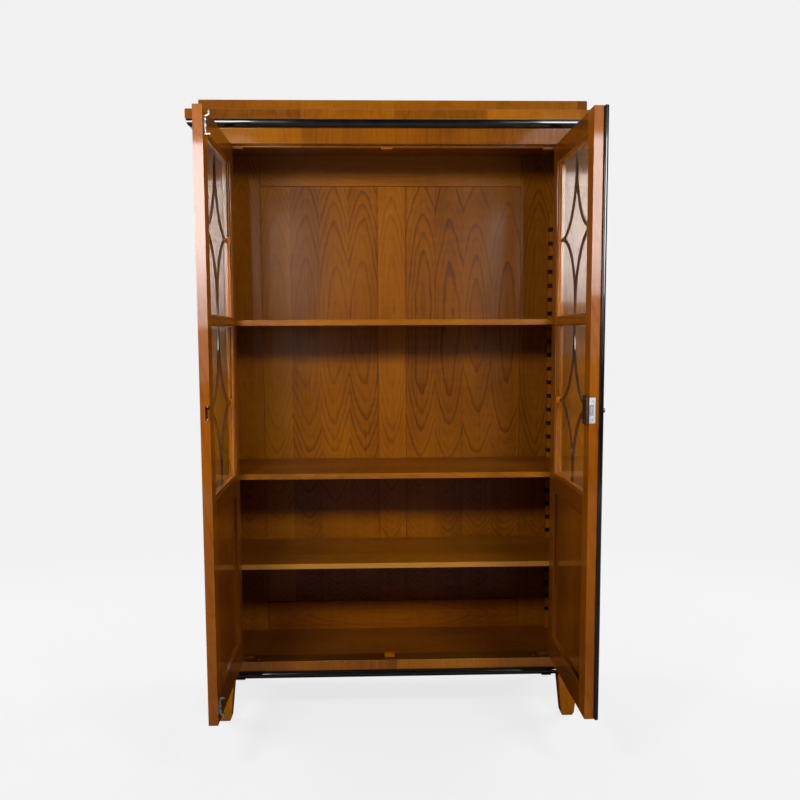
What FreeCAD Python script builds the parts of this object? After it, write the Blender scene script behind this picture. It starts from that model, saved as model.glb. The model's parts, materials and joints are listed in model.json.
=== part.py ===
"""Veneered display bookcase with two glazed doors, shown with both doors standing open.

Frame: +X to the right, +Y to the back, +Z up. The origin lies on the floor under the
middle of the case. Lengths are millimetres. Each door is drawn shut and then swung open.
"""
import FreeCAD, Part
import os

V = FreeCAD.Vector
UP = V(0, 0, 1)

# Case: overall sizes, then the levels from the floor upwards.
case_width = 1240.0
case_depth = 460.0
foot_height = 155.0
bottom_thickness = 18.0
base_rail_height = 32.0
door_height = 1654.0
door_play = 3.0
frieze_height = 46.0
cornice_moulding_height = 23.0
cornice_board_thickness = 31.0
cap_thickness = 35.0

# Case boards.
side_thickness = 22.0
top_thickness = 22.0
pilaster_width = 80.0
pilaster_thickness = 32.0
base_rail_depth = 67.0
frieze_lip_depth = 20.0
frieze_lip_drop = 5.0

# Cornice, cap and mouldings.
cornice_moulding_projection = 20.0
cornice_moulding_fillet = 3.0
cornice_moulding_bulge = 3.0
cornice_overhang = 22.5
cap_setback = 36.0
board_chamfer = 2.5
base_moulding_projection = 15.0
base_moulding_flat = 9.0

# Feet: square, tapered, with a chamfered toe and a round tenon into the bottom.
foot_top_width = 70.0
foot_toe_width = 44.0
foot_toe_height = 12.0
foot_toe_chamfer = 5.0
foot_side_inset = 14.0
foot_front_overhang = 8.0
foot_back_inset = 22.0
foot_tenon_radius = 12.0
foot_tenon_length = 12.0

# Back: a frame with two floating panels.
back_thickness = 20.0
back_stile_width = 130.0
back_muntin_width = 101.0
back_top_rail_width = 110.0
back_bottom_rail_width = 108.0
back_panel_thickness = 8.0
back_panel_setback = 6.0
back_groove_depth = 8.0

# Shelves, the notched racks that carry them and the loose bearers between the racks.
rack_width = 30.0
rack_thickness = 22.0
rack_headroom = 212.5
rack_head = 40.0
notch_depth = 16.0
notch_height = 15.0
notch_pitch = 50.0
first_notch_height = 66.5
lower_shelf_share = 0.18
middle_shelf_share = 0.39
upper_shelf_share = 0.75
bearer_width = 14.0
bearer_height = 14.0
bearer_play = 0.5
shelf_thickness = 18.0
shelf_setback = 43.0
shelf_end_play = 6.0
shelf_back_play = 2.0
shelf_rack_play = 3.0

# Door frames.
door_thickness = 26.0
door_open_angle = 90.0
hinge_play = 2.5
meeting_play = 2.0
door_stile_width = 70.0
top_rail_width = 67.0
mid_rail_width = 32.0
lock_rail_width = 61.0
bottom_rail_width = 75.0
pane_height = 465.0
tenon_length = 40.0
tenon_thickness = 8.0
tenon_shoulder = 8.0
joint_play = 0.2

# Glazing: the outer lip of the frame, the pane behind it and the beads that hold the pane.
glazing_lip = 10.5
rebate_width = 8.0
glass_thickness = 3.5
glass_play = 1.0
bead_depth = 10.0
bead_bevel = 4.0
lattice_width = 10.0
lattice_depth = 6.0
lattice_split_share = 0.45
lattice_block_width = 6.0
lattice_block_height = 20.0

# Wooden panel in the lower part of each door, and the moulding round it.
door_panel_thickness = 8.0
door_panel_setback = 9.0
door_groove_depth = 8.0
panel_moulding_width = 11.0
panel_moulding_depth = 7.5

# Pivot hinges at the top and bottom of each hinge stile.
pivot_from_edge = 13.0
pivot_from_face = 7.0
pivot_radius = 3.0
pivot_fit = 0.05
pivot_seat = 9.0
pivot_relief = 0.3
pivot_plate_length = 36.0
pivot_plate_width = 11.0
pivot_plate_thickness = 3.0
pivot_plate_inset = 2.0
pivot_collar_radius = 5.0
thrust_play = 0.2

# Cranked bolts on the left door, their guides, and the stop and keep blocks on the case.
bolt_from_edge = 22.0
bolt_width = 8.0
bolt_thickness = 4.0
bolt_play = 0.2
bolt_crank = 10.0
bolt_crank_rise = 5.0
bolt_tip_length = 12.0
bolt_rod_length = 44.0
bolt_hook_reach = 15.0
bolt_retreat = 12.0
bolt_throw = 12.0
guide_plate_thickness = 1.0
guide_plate_width = 18.0
guide_plate_margin = 3.0
guide_bridge_width = 16.0
guide_bridge_height = 6.0
guide_bridge_wall = 2.0
guide_spacing = 16.0
stop_width = 34.0
stop_play = 1.0
stop_from_edge = 49.5
top_stop_drop = 6.0
bottom_stop_height = 10.0
bottom_stop_depth = 25.0
keep_play = 1.0
keep_reach = 5.0

# Lock on the right door, its strike on the left door, the cover strip and the keyhole bush.
lock_centre_share = 0.52
lock_case_height = 77.0
lock_case_width = 45.0
lock_case_depth = 9.5
lock_plate_height = 70.0
lock_plate_width = 17.0
lock_plate_thickness = 2.0
lock_bolt_height = 27.0
lock_bolt_width = 9.0
lock_bolt_length = 34.0
lock_bolt_inset = 2.0
lock_bolt_play = 0.3
lock_throw = 9.0
strike_height = 39.0
strike_width = 13.0
strike_clearance = 5.0
strike_play = 1.0
astragal_width = 24.0
astragal_height = 12.0
astragal_overlap = 10.0
astragal_relief = 0.6
escutcheon_length = 12.0
escutcheon_width = 8.0
escutcheon_height = 4.0
escutcheon_sink = 3.0
keyhole_radius = 1.8
keyhole_slot_width = 1.6
keyhole_slot_length = 4.5

overrun = 1.0

# Places that follow from the sizes above.
half_case = case_width / 2
front = -case_depth / 2
back = case_depth / 2
floor_level = foot_height + bottom_thickness
opening_bottom = floor_level + base_rail_height
door_bottom = opening_bottom + door_play
door_top = door_bottom + door_height
opening_top = door_top + door_play
moulding_level = opening_top + frieze_height
case_top = moulding_level + cornice_moulding_height
cornice_top = case_top + cornice_board_thickness
half_opening = half_case - pilaster_width
inner_half = half_case - side_thickness
back_face = back - back_thickness
lip_bottom = opening_top - frieze_lip_drop
door_width = half_opening - hinge_play - meeting_play / 2
door_inner = front + door_thickness
pivot_x = half_opening - hinge_play - pivot_from_edge
pivot_y = front + pivot_from_face
rack_edge = inner_half - rack_width
pilaster_back = front + pilaster_thickness
lip_back = pilaster_back + frieze_lip_depth
bolt_x = -(meeting_play / 2 + bolt_from_edge)
lock_level = door_bottom + door_height * lock_centre_share
strike_depth = lock_throw + strike_clearance


def box(x, y, z):
    """A block from three (low, high) pairs."""
    return Part.makeBox(x[1] - x[0], y[1] - y[0], z[1] - z[0], V(x[0], y[0], z[0]))


def grown(span, play):
    """A (low, high) pair with some play on both ends."""
    return (span[0] - play, span[1] + play)


def prism(points, sweep):
    """A closed outline of straight edges, swept along a vector."""
    return Part.Face(Part.makePolygon(points + points[:1])).extrude(sweep)


def save(name, *solids):
    """Writes one piece, or one group of like pieces, under its own name."""
    shape = solids[0] if len(solids) == 1 else Part.makeCompound(solids)
    shape.exportStep(os.path.join("parts", name + ".step"))


def chamfered_board(x, y, z):
    """A board whose front and end edges are eased, top and bottom."""
    board = box(x, y, z)
    eased = []
    for edge in board.Edges:
        middle = edge.CenterOfMass
        level = edge.BoundBox.ZLength < board_chamfer
        if level and middle.y < y[1] - board_chamfer:
            eased.append(edge)
    return board.makeChamfer(board_chamfer, eased)


def moulding_runs(profile_face, projection, level, height):
    """Front, left and right lengths of a moulding, mitred round the front corners of the case.

    profile_face(start, outward) gives the section at a point on the case, facing outward.
    """
    reach = projection + overrun
    z = (level - overrun, level + height + overrun)
    lift = V(0, 0, z[1] - z[0])
    inner_left = V(-half_case, front, z[0])
    inner_right = V(half_case, front, z[0])
    outer_left = V(-half_case - reach, front - reach, z[0])
    outer_right = V(half_case + reach, front - reach, z[0])
    far_left = (V(-half_case - reach, back, z[0]), V(-half_case, back, z[0]))
    far_right = (V(half_case + reach, back, z[0]), V(half_case, back, z[0]))
    front_plan = prism([inner_left, inner_right, outer_right, outer_left], lift)
    left_plan = prism([inner_left, outer_left, *far_left], lift)
    right_plan = prism([inner_right, outer_right, *far_right], lift)
    along = V(case_width + 2 * reach, 0, 0)
    deep = V(0, case_depth + reach, 0)
    runs = [
        profile_face(V(-half_case - reach, front, level), V(0, -1, 0)).extrude(along).common(front_plan),
        profile_face(V(-half_case, front - reach, level), V(-1, 0, 0)).extrude(deep).common(left_plan),
        profile_face(V(half_case, front - reach, level), V(1, 0, 0)).extrude(deep).common(right_plan),
    ]
    return [run.Solids[0] for run in runs]


def cornice_profile(start, outward):
    """Swelling section that steps out from the frieze to the cornice board."""
    toe = start + outward * cornice_moulding_fillet
    top_outer = start + outward * cornice_moulding_projection + UP * cornice_moulding_height
    shoulder = top_outer - UP * cornice_moulding_fillet
    swell = (toe + shoulder) / 2 + (outward - UP).normalize() * cornice_moulding_bulge
    top_inner = start + UP * cornice_moulding_height
    edges = [
        Part.makeLine(start, toe),
        Part.Arc(toe, swell, shoulder).toShape(),
        Part.makeLine(shoulder, top_outer),
        Part.makeLine(top_outer, top_inner),
        Part.makeLine(top_inner, start),
    ]
    return Part.Face(Part.Wire(edges))


def base_profile(start, outward):
    """Half-round section that covers the edge of the bottom board."""
    low = start + outward * base_moulding_flat
    nose = start + outward * base_moulding_projection + UP * (bottom_thickness / 2)
    high = low + UP * bottom_thickness
    top_inner = start + UP * bottom_thickness
    edges = [
        Part.makeLine(start, low),
        Part.Arc(low, nose, high).toShape(),
        Part.makeLine(high, top_inner),
        Part.makeLine(top_inner, start),
    ]
    return Part.Face(Part.Wire(edges))


def square_wire(x, y, z, width):
    """A level square round a point, for the lofted feet."""
    h = width / 2
    corners = [V(x - h, y - h, z), V(x + h, y - h, z), V(x + h, y + h, z), V(x - h, y + h, z)]
    return Part.makePolygon(corners + corners[:1])


def foot(x, y):
    """One tapered foot with its chamfered toe and the tenon that goes up into the bottom."""
    toe = Part.makeLoft([
        square_wire(x, y, 0, foot_toe_width - 2 * foot_toe_chamfer),
        square_wire(x, y, foot_toe_height, foot_toe_width),
    ], True, True)
    leg = Part.makeLoft([
        square_wire(x, y, foot_toe_height, foot_toe_width),
        square_wire(x, y, foot_height, foot_top_width),
    ], True, True)
    tenon = Part.makeCylinder(foot_tenon_radius, foot_tenon_length, V(x, y, foot_height))
    return toe.fuse([leg, tenon]).removeSplitter()


def pivot_centre(side, z):
    """A point on the hinge axis of the left (-1) or right (+1) door."""
    return V(side * pivot_x, pivot_y, z)


def pivot_plate(side, z):
    """The flat plate of a pivot, let into an edge so that it lies flush with the wood."""
    near = side * (half_opening - hinge_play - pivot_plate_inset)
    far = near - side * pivot_plate_length
    half = pivot_plate_width / 2
    return box((min(near, far), max(near, far)), (pivot_y - half, pivot_y + half), z)


# Case: bottom, sides, pilasters, top, base rail and frieze.
os.makedirs("parts", exist_ok=True)

foot_half = foot_top_width / 2
foot_x = half_case - foot_side_inset - foot_half
foot_places = [
    (sx * foot_x, y)
    for y in (front - foot_front_overhang + foot_half, back - foot_back_inset - foot_half)
    for sx in (-1, 1)
]
save("feet", *[foot(x, y) for x, y in foot_places])

bottom = box((-half_case, half_case), (front, back), (foot_height, floor_level))
for x, y in foot_places:
    socket = Part.makeCylinder(
        foot_tenon_radius + joint_play, foot_tenon_length + joint_play, V(x, y, foot_height))
    bottom = bottom.cut(socket)
save("bottom_board", bottom)
base_section = base_profile(V(-half_case, front, foot_height), V(0, -1, 0))
save("base_moulding", base_section.extrude(V(case_width, 0, 0)))

for name, side in (("left", -1), ("right", 1)):
    spans = [sorted((side * a, side * half_case)) for a in (inner_half, half_opening)]
    save(name + "_side", box(spans[0], (pilaster_back, back), (floor_level, case_top)))
    save(name + "_pilaster", box(spans[1], (front, pilaster_back), (floor_level, case_top)))

save("top_board", box(
    (-inner_half, inner_half), (pilaster_back, back), (case_top - top_thickness, case_top)))

socket_levels = {
    "low": (opening_bottom - pivot_plate_thickness, opening_bottom),
    "high": (opening_top, opening_top + pivot_plate_thickness),
}
bore_depth = pivot_seat + pivot_relief
bore_starts = {"low": opening_bottom - bore_depth, "high": opening_top}

base_rail = box(
    (-half_opening, half_opening), (front, front + base_rail_depth), (floor_level, opening_bottom))
frieze = prism([
    V(-half_opening, front, opening_top),
    V(-half_opening, pilaster_back, opening_top),
    V(-half_opening, pilaster_back, lip_bottom),
    V(-half_opening, lip_back, lip_bottom),
    V(-half_opening, lip_back, case_top - top_thickness),
    V(-half_opening, pilaster_back, case_top - top_thickness),
    V(-half_opening, pilaster_back, case_top),
    V(-half_opening, front, case_top),
], V(2 * half_opening, 0, 0))
sockets = []
for side in (-1, 1):
    bores = {
        key: Part.makeCylinder(pivot_radius + pivot_relief, bore_depth, pivot_centre(side, z))
        for key, z in bore_starts.items()
    }
    plates = {key: pivot_plate(side, z) for key, z in socket_levels.items()}
    base_rail = base_rail.cut([plates["low"], bores["low"]])
    frieze = frieze.cut([plates["high"], bores["high"]])
    for key, plate in plates.items():
        hole = Part.makeCylinder(
            pivot_radius + pivot_fit, pivot_plate_thickness, pivot_centre(side, socket_levels[key][0]))
        sockets.append(plate.cut(hole))
save("pivot_sockets", *sockets)
save("base_rail", base_rail)

# Stop blocks at the door corners, and keep blocks bored for the bolts at the middle.
tip_low = door_inner + guide_plate_thickness + bolt_play + bolt_crank
tip_span_y = (tip_low, tip_low + bolt_thickness)
tip_span_x = (bolt_x - bolt_width / 2, bolt_x + bolt_width / 2)
keep_hole_x = grown(tip_span_x, keep_play)
keep_hole_y = grown(tip_span_y, keep_play)
stop_front = door_inner + stop_play
top_stop_z = (lip_bottom - top_stop_drop, lip_bottom)
bottom_stop_z = (opening_bottom, opening_bottom + bottom_stop_height)
blocks = []
for level, block_back in ((top_stop_z, lip_back), (bottom_stop_z, stop_front + bottom_stop_depth)):
    for x in (stop_from_edge - half_opening, half_opening - stop_from_edge):
        blocks.append(box((x - stop_width / 2, x + stop_width / 2), (stop_front, block_back), level))
    keep = box((bolt_x - stop_width / 2, bolt_x + stop_width / 2), (stop_front, block_back), level)
    blocks.append(keep.cut(box(keep_hole_x, keep_hole_y, grown(level, overrun))))
save("stop_blocks", *blocks)
save("frieze", frieze.cut(box(keep_hole_x, keep_hole_y, (lip_bottom - overrun, lip_bottom + keep_reach))))

# Cornice: ebonised moulding, overhanging board and the narrower cap on top.
save("cornice_moulding", *moulding_runs(
    cornice_profile, cornice_moulding_projection, moulding_level, cornice_moulding_height))
cornice_half = half_case + cornice_overhang
save("cornice_board", chamfered_board(
    (-cornice_half, cornice_half), (front - cornice_overhang, back), (case_top, cornice_top)))
cap_half = cornice_half - cap_setback
save("cap", chamfered_board(
    (-cap_half, cap_half), (front - cornice_overhang + cap_setback, back),
    (cornice_top, cornice_top + cap_thickness)))

# Back: two stiles, top and bottom rails and a middle muntin, grooved for the panels.
back_low = floor_level
back_high = case_top - top_thickness
stile_inner = inner_half - back_stile_width
muntin_half = back_muntin_width / 2
rail_low = back_low + back_bottom_rail_width
rail_high = back_high - back_top_rail_width
panel_y = (back_face + back_panel_setback, back_face + back_panel_setback + back_panel_thickness)
panel_spans = [(-stile_inner, -muntin_half), (muntin_half, stile_inner)]
panel_rise = (rail_low, rail_high)
groove_y = grown(panel_y, joint_play)
grooves = [
    box(grown(span, back_groove_depth), groove_y, grown(panel_rise, back_groove_depth))
    for span in panel_spans
]
back_y = (back_face, back)
back_frame = {
    "back_left_stile": box((-inner_half, -stile_inner), back_y, (back_low, back_high)),
    "back_right_stile": box((stile_inner, inner_half), back_y, (back_low, back_high)),
    "back_top_rail": box((-stile_inner, stile_inner), back_y, (rail_high, back_high)),
    "back_bottom_rail": box((-stile_inner, stile_inner), back_y, (back_low, rail_low)),
    "back_muntin": box((-muntin_half, muntin_half), back_y, (rail_low, rail_high)),
}
for name, piece in back_frame.items():
    save(name, piece.cut(grooves))
panel_tongue = back_groove_depth - joint_play
save("back_panels", *[
    box(grown(span, panel_tongue), panel_y, grown(panel_rise, panel_tongue))
    for span in panel_spans
])

# Racks: notched battens up the four inner corners of the case, behind the pilasters and on the back.
first_notch = floor_level + first_notch_height
rack_top = case_top - top_thickness - rack_headroom
notch_steps = int((rack_top - rack_head - first_notch) / notch_pitch)
rack_depths = [
    (pilaster_back, pilaster_back + rack_thickness),
    (back_face - rack_thickness, back_face),
]
racks = []
for side in (-1, 1):
    for depth in rack_depths:
        rack = box(sorted((side * rack_edge, side * inner_half)), depth, (floor_level, rack_top))
        notches = []
        for step in range(notch_steps + 1):
            low = first_notch + step * notch_pitch
            reach = sorted((side * (rack_edge - overrun), side * (rack_edge + notch_depth)))
            notches.append(box(reach, grown(depth, overrun), (low, low + notch_height)))
        racks.append(rack.cut(notches))
save("shelf_racks", *racks)

# Shelves, each on a pair of bearers dropped into the notches.
bearers = []
shelf_y = (front + shelf_setback, back_face - shelf_back_play)
shelf_half = inner_half - shelf_end_play
shelf_shares = (("lower", lower_shelf_share), ("middle", middle_shelf_share), ("upper", upper_shelf_share))
for name, share in shelf_shares:
    low = first_notch + round(share * notch_steps) * notch_pitch
    for side in (-1, 1):
        near = side * (rack_edge + bearer_play)
        bearers.append(box(
            sorted((near, near + side * bearer_width)),
            (pilaster_back + bearer_play, back_face - bearer_play), (low, low + bearer_height)))
    underside = low + bearer_height
    level = (underside, underside + shelf_thickness)
    shelf = box((-shelf_half, shelf_half), shelf_y, level)
    for side in (-1, 1):
        for depth in rack_depths:
            reach = sorted((side * (rack_edge - shelf_rack_play), side * (shelf_half + overrun)))
            shelf = shelf.cut(box(reach, grown(depth, shelf_rack_play), grown(level, overrun)))
    save(name + "_shelf", shelf)
save("shelf_bearers", *bearers)

# Levels of the rails, panes and panel inside a door.
bottom_rail_z = (door_bottom, door_bottom + bottom_rail_width)
top_rail_z = (door_top - top_rail_width, door_top)
upper_pane_z = (top_rail_z[0] - pane_height, top_rail_z[0])
mid_rail_z = (upper_pane_z[0] - mid_rail_width, upper_pane_z[0])
lower_pane_z = (mid_rail_z[0] - pane_height, mid_rail_z[0])
lock_rail_z = (lower_pane_z[0] - lock_rail_width, lower_pane_z[0])
door_panel_z = (bottom_rail_z[1], lock_rail_z[0])
panes_z = (lower_pane_z, upper_pane_z)
rails_z = {
    "top_rail": top_rail_z, "mid_rail": mid_rail_z, "lock_rail": lock_rail_z, "bottom_rail": bottom_rail_z,
}
lip_y = front + glazing_lip
glass_y = (lip_y, lip_y + glass_thickness)
bead_y = (glass_y[1], glass_y[1] + bead_depth)
wood_panel_y = (front + door_panel_setback, front + door_panel_setback + door_panel_thickness)
tenon_middle = front + door_thickness / 2
tenon_y = (tenon_middle - tenon_thickness / 2, tenon_middle + tenon_thickness / 2)


def along_door(side, a, b):
    """X range of a stretch of a shut door, measured from its hinge edge."""
    edge = half_opening - hinge_play
    return sorted((side * (edge - a), side * (edge - b)))


def swung_open(side, shape):
    """The piece carried round the hinge axis from shut to standing open."""
    turned = shape.copy()
    turned.rotate(pivot_centre(side, 0), UP, side * door_open_angle)
    return turned


def bevelled_ring(x, z, width, y, bevel):
    """Four mitred strips inside a rectangle, bevelled towards the middle on the inner face."""
    inner_x = grown(x, -width)
    inner_z = grown(z, -width)

    def rectangle(play, depth):
        a = grown(inner_x, play)
        b = grown(inner_z, play)
        corners = [V(a[0], depth, b[0]), V(a[1], depth, b[0]), V(a[1], depth, b[1]), V(a[0], depth, b[1])]
        return Part.makePolygon(corners + corners[:1])

    straight = box(inner_x, (y[0], y[1] - bevel), inner_z)
    splayed = Part.makeLoft([rectangle(0, y[1] - bevel), rectangle(bevel, y[1])], True, True)
    ring = box(x, y, z).cut([straight, splayed])
    thick = V(0, y[1] - y[0], 0)
    low_left, low_right = V(x[0], y[0], z[0]), V(x[1], y[0], z[0])
    high_left, high_right = V(x[0], y[0], z[1]), V(x[1], y[0], z[1])
    in_low_left, in_low_right = V(inner_x[0], y[0], inner_z[0]), V(inner_x[1], y[0], inner_z[0])
    in_high_left, in_high_right = V(inner_x[0], y[0], inner_z[1]), V(inner_x[1], y[0], inner_z[1])
    quarters = [
        [low_left, low_right, in_low_right, in_low_left],
        [low_right, high_right, in_high_right, in_low_right],
        [high_right, high_left, in_high_left, in_high_right],
        [high_left, low_left, in_low_left, in_high_left],
    ]
    return [ring.common(prism(outline, thick)).Solids[0] for outline in quarters]


def oval_block(centre, half_x, half_z, thickness):
    """An upright oval plate that stands forward of its centre by its thickness."""
    reaches = sorted((V(half_x, 0, 0), V(0, 0, half_z)), key=lambda reach: -reach.Length)
    oval = Part.Ellipse(centre + reaches[0], centre + reaches[1], centre)
    return Part.Face(Part.Wire([oval.toShape()])).extrude(V(0, -thickness, 0))


def lattice(x, z):
    """Curved glazing bar: a middle bar that parts into a pointed diamond with hollow sides."""
    middle_x = (x[0] + x[1]) / 2
    middle_z = (z[0] + z[1]) / 2
    rise = (z[1] - z[0]) * lattice_split_share
    half = lattice_width / 2
    y = (lip_y - lattice_depth, lip_y)
    solids = [
        box((middle_x - half, middle_x + half), y, (middle_z + rise, z[1])),
        box((middle_x - half, middle_x + half), y, (z[0], middle_z - rise)),
    ]
    run = middle_x - x[0]
    for corner_x, way_x in ((x[0], 1), (x[1], -1)):
        for corner_z, way_z in ((middle_z + rise, -1), (middle_z - rise, 1)):
            centre = V(corner_x, y[1], corner_z)
            outer = oval_block(centre, run + half, rise + half, lattice_depth)
            inner = oval_block(centre, run - half, rise - half, lattice_depth)
            quarter = box(sorted((corner_x, middle_x + way_x * half)), y,
                          sorted((corner_z, middle_z + way_z * half)))
            solids.append(outer.cut(inner).common(quarter))
    return solids[0].fuse(solids[1:]).removeSplitter().Solids[0]


for name, side in (("left", -1), ("right", 1)):
    inside = (door_stile_width, door_width - door_stile_width)
    clear_x = along_door(side, *inside)
    rebates = [
        box(grown(clear_x, rebate_width), (lip_y, door_inner + overrun), grown(z, rebate_width))
        for z in panes_z
    ]
    groove = box(
        grown(clear_x, door_groove_depth), grown(wood_panel_y, joint_play),
        grown(door_panel_z, door_groove_depth))

    # Rails with their tenons, and the mortises for them in the two stiles.
    mortises = []
    pieces = {}
    for rail, z in rails_z.items():
        tenon_z = grown(z, -tenon_shoulder)
        tenon = box(grown(clear_x, tenon_length), tenon_y, tenon_z)
        body = box(clear_x, (front, door_inner), z).cut(rebates + [groove])
        pieces[rail] = body.fuse(tenon).removeSplitter()
        mortises.append(box(
            grown(clear_x, tenon_length + joint_play), grown(tenon_y, joint_play),
            grown(tenon_z, joint_play)))
    stile_cuts = rebates + [groove] + mortises

    # Pivots: plates let into the ends of the hinge stile, with their pins.
    plates = [
        pivot_plate(side, (door_bottom, door_bottom + pivot_plate_thickness)),
        pivot_plate(side, (door_top - pivot_plate_thickness, door_top)),
    ]
    pin_length = pivot_seat + door_play
    pins = [
        Part.makeCylinder(pivot_radius, pin_length, pivot_centre(side, door_bottom - pin_length)),
        Part.makeCylinder(pivot_radius, pin_length, pivot_centre(side, door_top)),
    ]
    collar_height = door_play - thrust_play
    collar = Part.makeCylinder(
        pivot_collar_radius, collar_height, pivot_centre(side, door_bottom - collar_height))
    pivots = [plates[0].fuse([pins[0], collar]), plates[1].fuse(pins[1])]

    stile_z = (door_bottom, door_top)
    hinge_stile = box(along_door(side, 0, door_stile_width), (front, door_inner), stile_z)
    lock_stile = box(along_door(side, inside[1], door_width), (front, door_inner), stile_z)
    pieces["hinge_stile"] = hinge_stile.cut(stile_cuts + plates)
    pieces["lock_stile"] = lock_stile.cut(stile_cuts)

    # Lock parts on the right door, strike on the left door.
    edge_x = side * meeting_play / 2
    bolt_y = (door_inner - lock_bolt_inset - lock_bolt_width, door_inner - lock_bolt_inset)
    bolt_z = (lock_level - lock_bolt_height / 2, lock_level + lock_bolt_height / 2)
    if name == "right":
        plate_x = (edge_x, edge_x + lock_plate_thickness)
        plate_z = (lock_level - lock_plate_height / 2, lock_level + lock_plate_height / 2)
        plate = box(plate_x, (door_inner - lock_plate_width, door_inner), plate_z)
        channel = box((edge_x - overrun, edge_x + lock_bolt_length + lock_bolt_play),
                      grown(bolt_y, lock_bolt_play), grown(bolt_z, lock_bolt_play))
        pieces["lock_stile"] = pieces["lock_stile"].cut([plate, channel])
        pieces["lock_plate"] = plate.cut(channel)
        pieces["lock_bolt"] = box((edge_x, edge_x + lock_bolt_length), bolt_y, bolt_z)
        pieces["lock_case"] = box(
            (edge_x, edge_x + lock_case_width), (door_inner, door_inner + lock_case_depth),
            (lock_level - lock_case_height / 2, lock_level + lock_case_height / 2))

        # Half-round cover strip on the outer face, lapping over the other door.
        start = V(edge_x + astragal_width - astragal_overlap, front, door_bottom)
        crest = V(edge_x + astragal_width / 2 - astragal_overlap, front - astragal_height, door_bottom)
        lap = V(edge_x - astragal_overlap, front - astragal_relief, door_bottom)
        step = V(edge_x, front - astragal_relief, door_bottom)
        root = V(edge_x, front, door_bottom)
        outline = Part.Wire([
            Part.Arc(start, crest, lap).toShape(),
            Part.makeLine(lap, step),
            Part.makeLine(step, root),
            Part.makeLine(root, start),
        ])
        strip = Part.Face(outline).extrude(V(0, 0, door_height))

        # Keyhole bush let into the crest of the cover strip.
        seat = V(crest.x, crest.y + escutcheon_sink, lock_level)
        shield = oval_block(
            seat, escutcheon_width / 2, escutcheon_length / 2, escutcheon_sink + escutcheon_height)
        round_hole = Part.makeCylinder(keyhole_radius, astragal_height, seat, V(0, -1, 0))
        slot = box((seat.x - keyhole_slot_width / 2, seat.x + keyhole_slot_width / 2),
                   (seat.y - astragal_height, seat.y), (lock_level - keyhole_slot_length, lock_level))
        pieces["astragal"] = strip.cut(shield)
        pieces["escutcheon"] = shield.cut([round_hole, slot])
    else:
        strike_z = (lock_level - strike_height / 2, lock_level + strike_height / 2)
        strike_x = (edge_x - lock_plate_thickness, edge_x)
        strike = box(strike_x, (door_inner - strike_width, door_inner), strike_z)
        pocket = box((edge_x - strike_depth, edge_x + overrun),
                     grown(bolt_y, strike_play), grown(bolt_z, strike_play))
        pieces["lock_stile"] = pieces["lock_stile"].cut([strike, pocket])
        pieces["strike_plate"] = strike.cut(pocket)

    # Panes, lattice, beads, wooden panel and its moulding.
    glass_reach = rebate_width - glass_play
    groups = {
        "glass": [box(grown(clear_x, glass_reach), glass_y, grown(z, glass_reach)) for z in panes_z],
        "lattice": [lattice(clear_x, z) for z in panes_z],
        "pivots": pivots,
        "panel_moulding": bevelled_ring(
            clear_x, door_panel_z, panel_moulding_width,
            (wood_panel_y[1], wood_panel_y[1] + panel_moulding_depth), panel_moulding_depth - joint_play),
    }
    beads = []
    for z in panes_z:
        beads += bevelled_ring(
            grown(clear_x, rebate_width), grown(z, rebate_width), rebate_width, bead_y, bead_bevel)
        middle = (z[0] + z[1]) / 2
        block_z = (middle - lattice_block_height / 2, middle + lattice_block_height / 2)
        for x, inward in ((clear_x[0], 1), (clear_x[1], -1)):
            beads.append(box(sorted((x, x + inward * lattice_block_width)), bead_y, block_z))
    groups["beads"] = beads
    pieces["panel"] = box(
        grown(clear_x, door_groove_depth - joint_play), wood_panel_y,
        grown(door_panel_z, door_groove_depth - joint_play))

    for piece, shape in pieces.items():
        save(name + "_door_" + piece, swung_open(side, shape))
    for group, shapes in groups.items():
        save(name + "_door_" + group, *[swung_open(side, shape) for shape in shapes])


def cranked_bolt(foot_z, way):
    """A flat bar with a finger hook at one end and a tip cranked away from the door.

    foot_z is the level of the hook's far side, way is +1 for a bolt that shoots upwards.
    """
    y = door_inner + guide_plate_thickness + bolt_play
    t = bolt_thickness
    rod = foot_z + way * bolt_rod_length
    crank = rod + way * bolt_crank_rise
    tip = crank + way * bolt_tip_length
    hook = foot_z + way * t
    outline = [
        (y, foot_z), (y + bolt_hook_reach, foot_z), (y + bolt_hook_reach, hook), (y + t, hook),
        (y + t, rod), (y + t + bolt_crank, crank), (y + t + bolt_crank, tip), (y + bolt_crank, tip),
        (y + bolt_crank, crank + way * t), (y, rod + way * t),
    ]
    points = [V(tip_span_x[0], a, b) for a, b in outline]
    return prism(points, V(bolt_width, 0, 0))


def bolt_guide(foot_z, way):
    """Back plate with two bridges that hold the bolt to the door and let it slide."""
    first = foot_z + way * (bolt_thickness + bolt_throw + guide_plate_margin)
    last = first + way * (guide_spacing + guide_bridge_height)
    x = (bolt_x - guide_plate_width / 2, bolt_x + guide_plate_width / 2)
    face = (door_inner, door_inner + guide_plate_thickness)
    guide = box(x, face, grown(sorted((first, last)), guide_plate_margin))
    bridge_x = (bolt_x - guide_bridge_width / 2, bolt_x + guide_bridge_width / 2)
    slot_y = (face[1], face[1] + bolt_thickness + 2 * bolt_play)
    for step in (0, guide_spacing):
        z = sorted((first + way * step, first + way * (step + guide_bridge_height)))
        bridge = box(bridge_x, (face[1], slot_y[1] + guide_bridge_wall), z)
        guide = guide.fuse(bridge.cut(box(grown(tip_span_x, bolt_play), slot_y, z)))
    return guide.removeSplitter()


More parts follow.
